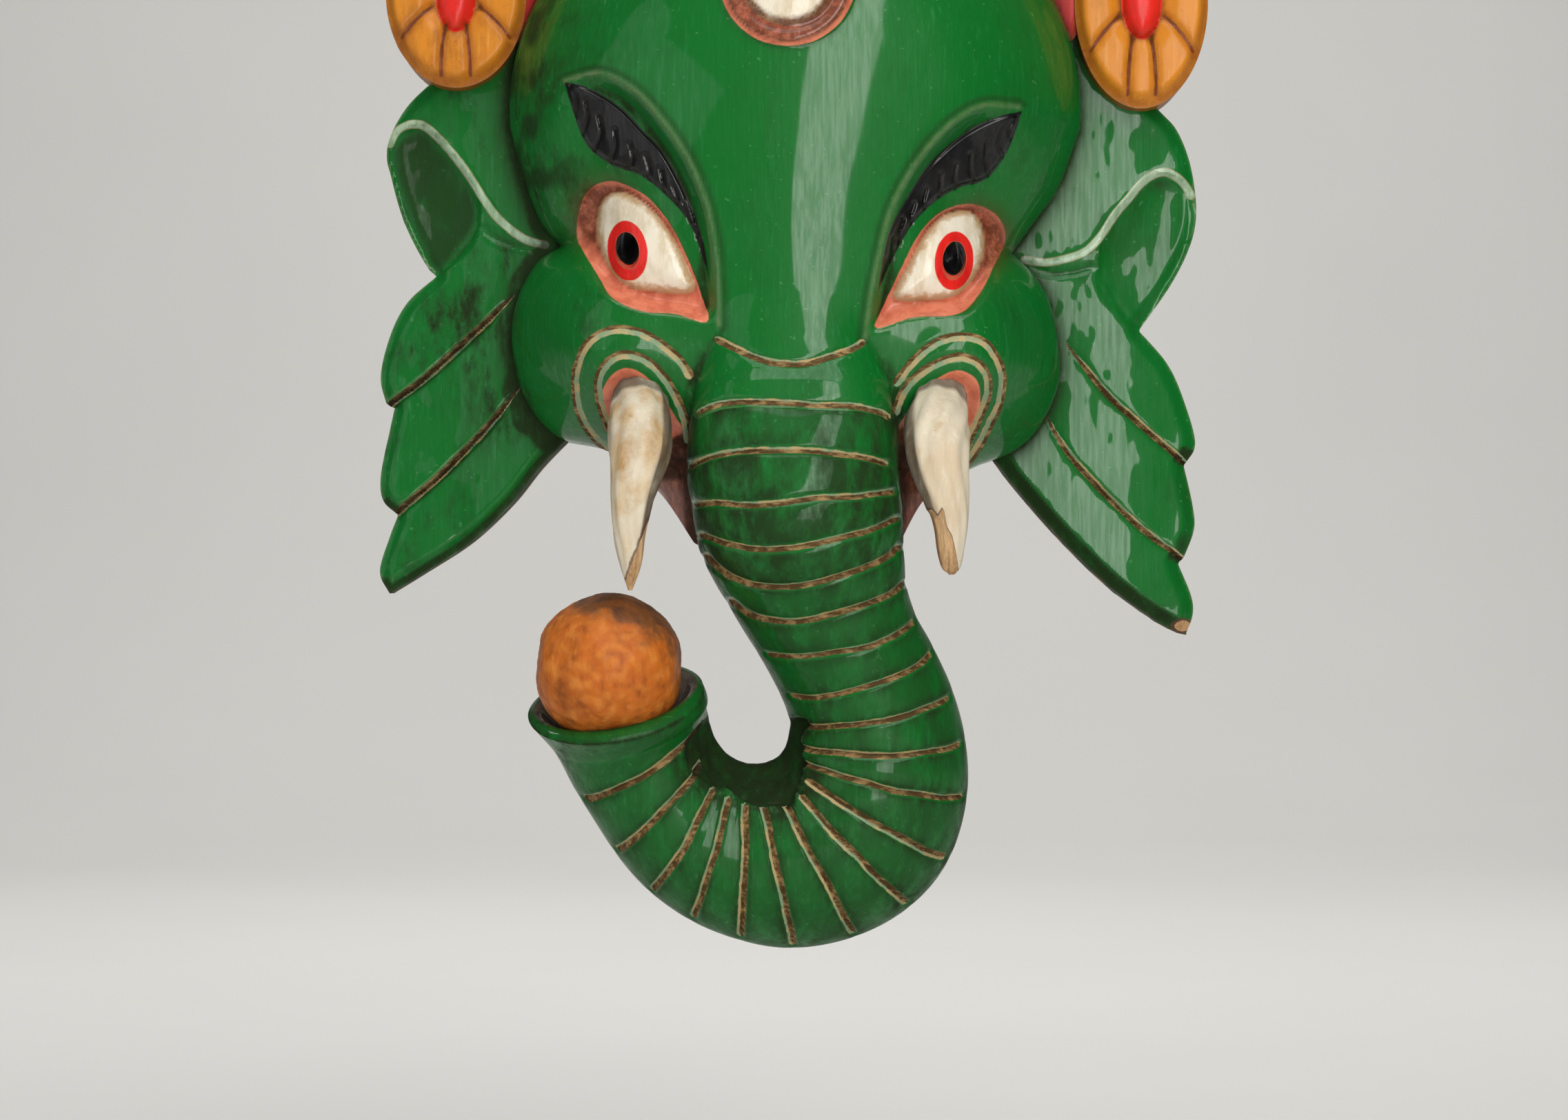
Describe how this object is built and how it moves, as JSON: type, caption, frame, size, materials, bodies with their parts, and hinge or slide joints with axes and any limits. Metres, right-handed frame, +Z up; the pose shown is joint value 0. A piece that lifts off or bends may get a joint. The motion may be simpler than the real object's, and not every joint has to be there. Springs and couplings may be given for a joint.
{
  "type": "ganesha wall mask",
  "caption": "Carved wooden elephant-headed mask to hang on a wall, with crown, rosettes, ribbed trunk curled under a round sweet, and tusks set in the cheeks; hollow behind the face.",
  "frame": {"origin": "point on the flat back of the crown where the mask bears on the wall", "axes": "+Z up, +Y out of the back into the wall, the face looks along -Y"},
  "size_m": [0.343, 0.118, 0.5049],
  "materials": {
    "painted_wood": "glossy green lacquer over carved wood, worn and grimed",
    "cream_paint": "worn cream paint over wood",
    "orange_paint": "dusty orange paint over lumpy wood"
  },
  "bodies": {
    "root": {"mask": "painted_wood", "tusk_left": "cream_paint", "tusk_right": "cream_paint", "ball": "orange_paint"}
  },
  "joints": []
}
